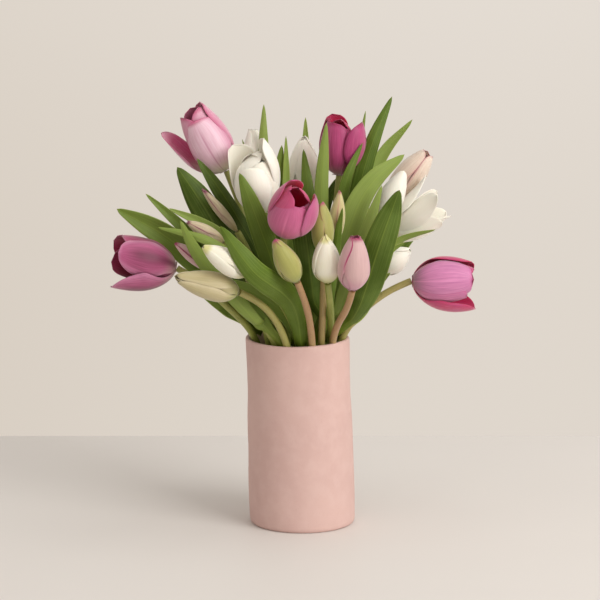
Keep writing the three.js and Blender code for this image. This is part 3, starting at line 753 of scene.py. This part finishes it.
# Colours: foot, body, edge, tip, vein, inside. Then where along the petal the tip's colour
# begins, how strongly the veins show, how far the tip's colour runs down the edges, and what runs
# down the middle: 1 a fine dark line, 2 a broad dark band, -1 a fine pale line, 0 nothing.
# The fine pale line down the middle (-1) is a painted highlight along the keel's ridge.
TONES = {
    "pink": ("e9e2c4", "efccda", "d0789e", "c8587f", "b85c88", "c24c78", 0.9, 0.45, 0.6, 1),
    "orchid": ("c9a2a4", "b85a86", "d890b4", "d48cb0", "6c1c40", "98103c", 0.92, 0.8, 0.0, 2),
    "rose": ("a84f80", "c8648f", "c0608e", "b04478", "983868", "e81e5c", 0.92, 0.4, 0.1, -1),
    "magenta": ("b07888", "bb4a7e", "a02c66", "9a1e54", "861c50", "d81854", 0.9, 0.6, 0.3, -1),
    "lilac": ("ae8098", "d488b4", "c46aa0", "c4488a", "a85490", "c4104c", 0.93, 0.8, 0.2, -1),
    "white": ("e4e4bc", "faf6ea", "fbf8ee", "fbf8ea", "ece7d4", "fbf7ea", 0.9, 0.3, 0.0, 0),
    "white_bud": ("c6c67a", "f4f0e0", "f6f2e4", "d8d490", "e0d9b4", "f2edda", 0.82, 0.3, 0.0, 0),
    "cream": ("a2a45c", "c4b88e", "dccfae", "b0a878", "98905e", "c4b88e", 0.92, 0.5, 0.0, 0),
    "cream_bud": ("a9b060", "cfc890", "cbb08c", "b8306c", "a87c64", "c6c088", 0.92, 0.7, 0.4, 0),
    "green_bud": ("949a4a", "aaa85e", "bab472", "b41a72", "8f9448", "c6c088", 0.9, 0.4, 0.3, 0),
    "blush_bud": ("c890a4", "d2b0ae", "cc98a2", "a00c58", "bc8494", "c02874", 0.9, 0.4, 1.2, 0),
    "dusk_bud": ("b0a66c", "d2c6a2", "bf9f90", "7c2450", "8a5a60", "b59a86", 0.88, 0.9, 1.2, 0),
    "beige": ("cdb694", "e6d6c6", "d8bcac", "b8366f", "bf9a86", "e0bea6", 0.95, 0.6, 0.5, 0),
}

PLAIN_PETAL = {
    "turn": 0, "lean": 0, "reach": 1, "roll": 0, "wide": 1, "point": 0, "shade": 0, "flush": 0,
    "peak": 0.44, "girth": 1,
}

# How each bloom stands, and how single petals differ, by the petal's place in the two rings.
# spin turns the petals about the axis, mouth is how open the bloom is, and peak how high its
# belly is. lean is in degrees, roll curls a tip inwards, point narrows it, shade darkens the
# petal and flush brings the colour of the inside to it.
BLOOMS = {
    "01": {"tone": "pink", "mouth": 0.56, "spin": -2, "girth": 0.93, "peak": 0.4,
           4: {"lean": 20, "mouth": 0.7, "wide": 0.85, "point": 0.35, "turn": 12},
           5: {"lean": 2, "flush": 0.5, "wide": 1.1, "turn": -8},
           0: {"reach": 0.87, "lean": 2.5, "wide": 1.25},
           1: {"flush": 0.35, "wide": 1.1}, 2: {"flush": 0.4, "lean": 1},
           3: {"flush": 0.5, "roll": 0.05}, "open": True},
    "02": {"tone": "white", "mouth": 0.52, "spin": -15, "peak": 0.5,
           0: {"lean": 7, "reach": 0.76}, 2: {"lean": 3, "reach": 1.1, "roll": 0.08},
           4: {"lean": 5, "reach": 0.96, "mouth": 0.8}, 1: {"lean": 5, "reach": 0.82},
           5: {"roll": 0.55, "reach": 1.04, "mouth": 0.5}, 3: {"roll": 0.35}, "open": True},
    "03": {"tone": "rose", "mouth": 0.5, "spin": -8, "girth": 0.93,
           0: {"lean": 2, "reach": 0.86, "wide": 1.1},
           2: {"lean": 7, "reach": 0.94, "turn": -24, "point": 0.25},
           1: {"reach": 0.82, "lean": 3}, 3: {"roll": 0.16, "reach": 1.02, "flush": 0.4},
           5: {"roll": 0.08, "flush": 0.3}, 4: {"flush": 0.2}, "open": True},
    "04": {"tone": "magenta", "mouth": 0.55, "spin": -30,
           2: {"lean": 13, "turn": -22, "wide": 1.25, "point": 0.2}, 0: {"reach": 0.94},
           1: {"reach": 0.84, "turn": -10}, 3: {"roll": 0.2, "flush": 0.4},
           4: {"flush": 0.3}, 5: {"flush": 0.3}, "open": True},
    "05": {"tone": "orchid", "mouth": 0.72, "spin": 30, "girth": 0.8, "peak": 0.5,
           0: {"lean": 6, "point": 0.3, "wide": 1.12},
           4: {"lean": 13, "point": 0.3, "turn": 30, "wide": 1.1},
           5: {"reach": 0.7, "flush": 0.3}, 1: {"lean": 9, "flush": 0.4, "reach": 0.94},
           2: {"lean": 9, "flush": 0.5}, 3: {"flush": 0.4}, "open": True},
    "06": {"tone": "cream", "mouth": 0.14, "spin": 66, "girth": 0.84, "peak": 0.34,
           0: {"point": 0.4}, 4: {"lean": 3, "point": 0.4, "reach": 0.97},
           5: {"turn": 24, "reach": 0.8}},
    "07": {"tone": "white_bud", "mouth": 0.1, "spin": 66, "peak": 0.36, "point": 0.3},
    "08": {"tone": "green_bud", "mouth": 0.1, "spin": 10, "peak": 0.36, "girth": 0.92},
    "09": {"tone": "white_bud", "mouth": 0.1, "spin": 5, "peak": 0.32, "point": 0.2},
    "10": {"tone": "blush_bud", "mouth": 0.3, "spin": 24, "peak": 0.34},
    "11": {"tone": "green_bud", "mouth": 0.14, "spin": 70, "girth": 0.95},
    "12": {"tone": "cream_bud", "mouth": 0.08, "spin": 60, "girth": 0.9, "point": 0.3},
    "13": {"tone": "lilac", "mouth": 0.5, "spin": -10, "girth": 0.76, "reach": 1.05,
           2: {"lean": 20, "turn": -14, "wide": 1.25, "reach": 1.06, "point": 0.15,
               "flush": 0.8},
           0: {"wide": 1.3, "reach": 1.02, "lean": 4},
           4: {"lean": 5, "flush": 0.9, "reach": 1.02},
           5: {"lean": 1, "reach": 1.08, "flush": 0.6}, 3: {"flush": 0.6, "lean": 3},
           1: {"lean": 10, "reach": 1.0, "flush": 0.2}, "open": True},
    "14": {"tone": "white", "mouth": 0.2, "spin": 25},
    "15": {"tone": "beige", "mouth": 0.34, "spin": -60, "girth": 0.86, "peak": 0.5,
           2: {"lean": 2}, 1: {"reach": 0.9}, "open": True},
    "16": {"tone": "white", "mouth": 0.12, "spin": 0},
    "17": {"tone": "white", "mouth": 1.0, "spin": 30, "girth": 0.74, "point": 0.5, "peak": 0.6,
           "wide": 1.15,
           "reach": 1.1, 0: {"lean": 4, "reach": 0.94}, 2: {"lean": 3, "reach": 1.0},
           4: {"lean": 15, "reach": 1.14}, 5: {"lean": 10, "reach": 1.16},
           3: {"lean": 8}, 1: {"lean": 0}, "open": True},
    "18": {"tone": "white", "mouth": 0.15, "spin": 0},
    "19": {"tone": "dusk_bud", "mouth": 0.12, "spin": 66, "girth": 0.74, "point": 0.4},
    "20": {"tone": "blush_bud", "mouth": 0.15, "spin": 60, "girth": 0.62, "point": 0.4},
    "21": {"tone": "dusk_bud", "mouth": 0.12, "spin": 50, "girth": 0.72, "point": 0.4},
    "22": {"tone": "white", "mouth": 0.25, "spin": 30},
}


def petal_finish(tone, inner):
    """The outer or the inner face of a petal."""
    foot, body, edge, tip, vein_colour, inside, tip_at, streak, rim, keel = TONES[tone]
    foot, body, edge, tip, vein_colour, inside = (
        hex_colour(code) for code in (foot, body, edge, tip, vein_colour, inside)
    )
    material, start, shader = new_finish(f"petal_{tone}_{'inside' if inner else 'outside'}")
    face = start.node("ShaderNodeUVMap", {"uv_map": "petal"})
    parts = start.node("ShaderNodeSeparateXYZ", None, {0: face})
    across = abs(parts - 0.5) * 2
    along = parts.output(1)
    shade = start.node("ShaderNodeAttribute", {"attribute_name": "shade"}, output="Fac")
    flush = start.node("ShaderNodeAttribute", {"attribute_name": "flush"}, output="Fac")
    lines = start.node("ShaderNodeMapping", None, {"Vector": face, "Scale": (30, 1.5, 1)})
    vein = start.grain(lines, 1.5, 3.0)
    place = start.node("ShaderNodeTexCoord", output="Object")
    cloud = start.grain(place, 60.0, 2.0)
    if inner:
        colour = along.between(0.45, 0.0).tint(inside, foot)
        colour = (along.between(0.75, 1.0) * 0.5).tint(colour, body)
    else:
        colour = (across.between(0.45, 1.0) * 0.75).tint(body, edge)
        colour = along.between(0.28, 0.0).tint(colour, foot)
        colour = along.between(tip_at, tip_at + 0.1).tint(colour, tip)
        hem = across.between(0.86, 0.97) * along.between(0.25, 0.7) * rim
        colour = hem.tint(colour, tip)
    colour = flush.tint(colour, inside)
    colour = (vein.between(0.45, 0.75) * streak * 0.6).tint(colour, vein_colour)
    pale = vein.between(0.48, 0.25) * streak * 0.5
    colour = pale.tint(colour, tuple(min(1, c * 1.35 + 0.05) for c in body))
    # Down the middle of the outer face: a dark line or band of the petal's own colour, while a
    # keel below 0 gives a pale line, a painted highlight on the ridge.
    if keel and not inner:
        light = tuple(min(1, c * 1.25 + 0.08) for c in body)
        line = across.between(0.55 if keel > 1 else 0.06, 0.0) * along.between(0.97, 0.6)
        weight = 0.85 if keel > 1 else 0.5
        colour = (line * weight).tint(colour, vein_colour if keel > 0 else light)
    deep = tuple(c * 0.7 for c in (inside if inner else vein_colour))
    colour = (cloud.between(0.4, 0.8) * 0.14).tint(colour, vein_colour)
    connect((shade * 0.5).tint(colour, deep), shader, "Base Color")
    connect(vein * 0.15 + 0.38, shader, "Roughness")
    shader.inputs["Specular IOR Level"].default_value = 0.35
    shader.inputs["Subsurface Weight"].default_value = 0.35
    shader.inputs["Subsurface Radius"].default_value = (0.004, 0.0035, 0.0035)
    shader.inputs["Sheen Weight"].default_value = 0.3
    bump(start, shader, vein, 0.4, 0.0004)
    return material


PETAL_FINISHES = {
    tone: [petal_finish(tone, False), petal_finish(tone, True)] for tone in TONES
}


def bloom_frame(name):
    """A bloom's foot, its axis, two directions square to it, its length and its radius."""
    corners = [Vector(c) for c in corners_of(f"tulip_{name}_bloom")]
    foot = STEM_LINES[name][-1]
    tip = max(corners, key=lambda c: (c - foot).length)
    axis = (tip - foot).normalized()
    radius = max(((c - foot) - axis * (c - foot).dot(axis)).length for c in corners)
    front = Vector((0, -1, 0))
    front = (front - axis * front.dot(axis)).normalized()
    side = axis.cross(front)
    return foot, axis, front, side, (tip - foot).length, radius


def petal_points(length, radius, petal, layer, rng):
    """One petal as rows of (outward, sideways, up), with its midrib in the outward plane."""
    inner = layer % 2
    mouth, peak, lean = petal["mouth"], petal["peak"], math.radians(petal["lean"])
    reach = length * petal["reach"] * rng.uniform(0.96, 1.02) * (INNER_REACH if inner else 1.0)
    belly = radius * (INNER_BELLY if inner else 1.0)
    breadth = radius * (INNER_BREADTH if inner else OUTER_BREADTH) * petal["wide"]
    curl = rng.uniform(-0.02, 0.06) * min(1, 2 * mouth) + 0.10 * max(0.0, mouth - 0.6)
    phase, wave = rng.uniform(0, FULL_TURN), rng.uniform(0.01, 0.03)
    rows = []
    for r in range(PETAL_ROWS + 1):
        v = r / PETAL_ROWS
        rise = math.sqrt(1 - (1 - min(1, v / peak)) ** 2)
        fall = max(0.0, (v - peak) / (1 - peak))
        middle = belly * rise * (1 - (1 - mouth) * fall**1.9)
        middle += radius * curl * max(0.0, (v - 0.75) / 0.25) ** 2
        up = reach * (0.02 + 0.98 * v**0.93)
        over = petal["roll"] * max(0.0, (v - 0.5) / 0.5) ** 2
        middle -= radius * 1.5 * over
        up -= reach * 0.2 * over
        bulge = PETAL_FOOT + (1 - PETAL_FOOT) * smooth_step(v / (peak + 0.06))
        closing = max(0.0, (v - 0.5) / 0.5)
        blunt = (1 - closing ** (2.4 + mouth)) ** (0.6 - 0.08 * mouth)
        half = breadth * bulge * (blunt * (1 - petal["point"] * closing))
        # the petal wraps round the axis on this radius, less tightly where it is wide
        bend = max(middle * 0.96, half * 0.62, radius * 0.2)
        row = []
        for c in range(PETAL_COLUMNS + 1):
            u = 2 * c / PETAL_COLUMNS - 1
            angle = u * half / bend
            out = middle - bend + bend * math.cos(angle)
            # one edge lies over the next petal's, the edges wave, and a keel runs up the middle
            out += radius * (0.03 * u * smooth_step(v * 2) - 0.02 * inner)
            out += radius * wave * math.sin(FULL_TURN * 1.6 * v + phase + 2 * u) * u * u
            out -= radius * 0.035 * math.exp(-((u / 0.1) ** 2)) * smooth_step(v * 2) * (1 - v)
            sideways = bend * math.sin(angle)
            row.append((
                (out * math.cos(lean) + up * math.sin(lean), sideways,
                 up * math.cos(lean) - out * math.sin(lean) * 0.6),
                (c / PETAL_COLUMNS, v),
            ))
        rows.append(row)
    return rows


def build_bloom(name):
    """A bloom's six petals as one piece. The inside of each has a finish of its own."""
    stance = BLOOMS[name]
    rng = random.Random(int(name) * 13 + 1)
    foot, axis, front, side, length, radius = bloom_frame(name)
    points, faces, uvs, shade, flush = [], [], [], [], []
    for layer, extra in RINGS:
        petal = {**PLAIN_PETAL, **stance}
        petal["mouth"] += extra
        petal.update(stance.get(layer, {}))
        turn = math.radians(stance["spin"] + 60 * layer + petal["turn"] + rng.uniform(-4, 4))
        out = front * math.cos(turn) + side * math.sin(turn)
        across = axis.cross(out)
        petal["lean"] += rng.uniform(-1.5, 1.5) * petal["mouth"]  # degrees
        rows = petal_points(length, radius * petal["girth"], petal, layer, rng)
        faces += sheet_faces(PETAL_ROWS, PETAL_COLUMNS, len(points))
        # each petal is darkened a little at random, and the inner ring more by painted shade
        darkness = rng.uniform(0, 0.2) + (INNER_SHADE if layer % 2 else 0) + petal["shade"]
        for row in rows:
            for (o, s, u), uv in row:
                points.append(foot + out * o + across * s + axis * u)
                uvs.append(uv)
                shade.append(darkness)
                flush.append(petal["flush"])
    bloom = finish_sheet(
        f"bloom_{name}", points, faces, uvs, {"shade": shade, "flush": flush},
        PETAL_FINISHES[stance["tone"]], PETAL_THICK, "petal",
    )
    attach(bloom, "root")
    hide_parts(f"tulip_{name}_bloom")


def stamen_tree():
    """Geometry Nodes that stand a stamen on every point, along the direction kept in aim."""
    tree, given, add = new_tree(
        "stamens_on_points", (("Height", "Float"), ("Thread", "Material"), ("Anther", "Material"))
    )
    cone = add(
        "GeometryNodeMeshCone",
        {"Vertices": 8, "Radius Top": 0.5 * MM, "Radius Bottom": MM, "Depth": given["Height"]},
    )
    thread = add("GeometryNodeSetMaterial", {"Geometry": cone[0], "Material": given["Thread"]})
    ball = add("GeometryNodeMeshUVSphere", {"Segments": 8, "Rings": 7, "Radius": 1.3 * MM})
    top = add("ShaderNodeCombineXYZ", {"Z": given["Height"]})
    pod = add(
        "GeometryNodeTransform",
        {"Geometry": ball[0], "Translation": top[0], "Scale": (1.0, 0.8, 3.4)},
    )
    anther = add("GeometryNodeSetMaterial", {"Geometry": pod[0], "Material": given["Anther"]})
    stamen = add("GeometryNodeJoinGeometry", {0: [thread[0], anther[0]]})
    aim = add("GeometryNodeInputNamedAttribute", {"Name": "aim"}, {"data_type": "FLOAT_VECTOR"})
    turned = add("FunctionNodeAlignRotationToVector", {"Vector": aim[0]}, {"axis": "Z"})
    stood = add(
        "GeometryNodeInstanceOnPoints",
        {"Points": given["Geometry"], "Instance": stamen[0], "Rotation": turned[0]},
    )
    whole = add("GeometryNodeRealizeInstances", {0: stood[0]})
    soft = add("GeometryNodeSetShadeSmooth", {0: whole[0]})
    add("NodeGroupOutput", {0: soft[0]})
    return tree


def heart_finish(name, dark, light, scale):
    """Finely grained plant flesh between two colours."""
    material, start, shader = new_finish(name)
    place = start.node("ShaderNodeTexCoord", output="Object")
    grain = start.grain(place, scale, 3.0)
    connect(grain.between(0.35, 0.65).tint(hex_colour(dark), hex_colour(light)),
            shader, "Base Color")
    connect(grain * 0.2 + 0.55, shader, "Roughness")
    bump(start, shader, grain, 0.5, 0.0003)
    return material


STAMEN_TREE = stamen_tree()
THREAD_FINISH = heart_finish("stamen_thread", "5c3058", "c8b078", 500.0)
ANTHER_FINISH = heart_finish("stamen_anther", "1c1022", "4a3048", 1800.0)
PISTIL_FINISH = heart_finish("pistil", "8c9a4c", "c8cc84", 400.0)
# Up the pistil: the share of its height, and its radius in millimetres.
PISTIL_RINGS = ((0.0, 2.2), (0.3, 2.6), (0.65, 2.3), (0.85, 2.4), (0.93, 4.0), (1.0, 3.4))
PISTIL_SIDES = 24
PISTIL_LOBES = 3
STAMENS = 6
STAMEN_RING = 3.5 * MM


def build_heart(name):
    """The pistil and the six stamens in the bottom of an open bloom."""
    foot, axis, front, side, length, radius = bloom_frame(name)
    floor = foot + axis * (length * 0.06)
    height = length * 0.42
    threads = bpy.data.meshes.new("stamen feet")
    turns = [i * 2 * math.pi / STAMENS for i in range(STAMENS)]
    rays = [front * math.cos(turn) + side * math.sin(turn) for turn in turns]
    threads.from_pydata([floor + ray * STAMEN_RING for ray in rays], [], [])
    aims = [value for ray in rays for value in (axis + ray * 0.12).normalized()]
    threads.attributes.new("aim", "FLOAT_VECTOR", "POINT").data.foreach_set("vector", aims)
    source = bpy.data.objects.new("stamen feet", threads)
    scene.collection.objects.link(source)
    values = {"Height": height, "Thread": THREAD_FINISH, "Anther": ANTHER_FINISH}
    stamens = grown(f"stamens_{name}", source, STAMEN_TREE, values)

    sides = PISTIL_SIDES
    points, faces = [], []
    for share, wide in PISTIL_RINGS:
        for i in range(sides):
            angle = i * 2 * math.pi / sides
            lobed = wide * MM * (1 + 0.22 * math.cos(PISTIL_LOBES * angle))
            spoke = front * math.cos(angle) + side * math.sin(angle)
            points.append(floor + axis * (height * 0.95 * share) + spoke * lobed)
    for ring in range(len(PISTIL_RINGS) - 1):
        for i in range(sides):
            a, b = ring * sides + i, ring * sides + (i + 1) % sides
            faces.append((a, b, b + sides, a + sides))
    faces.append(tuple(range(len(points) - sides, len(points))))
    pistil = mesh_object(f"pistil_{name}", points, faces, [PISTIL_FINISH])
    for piece in (stamens, pistil):
        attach(piece, "root")
        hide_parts(f"tulip_{name}_bloom")


for name, stance in BLOOMS.items():
    build_bloom(name)
    if stance.get("open"):
        build_heart(name)
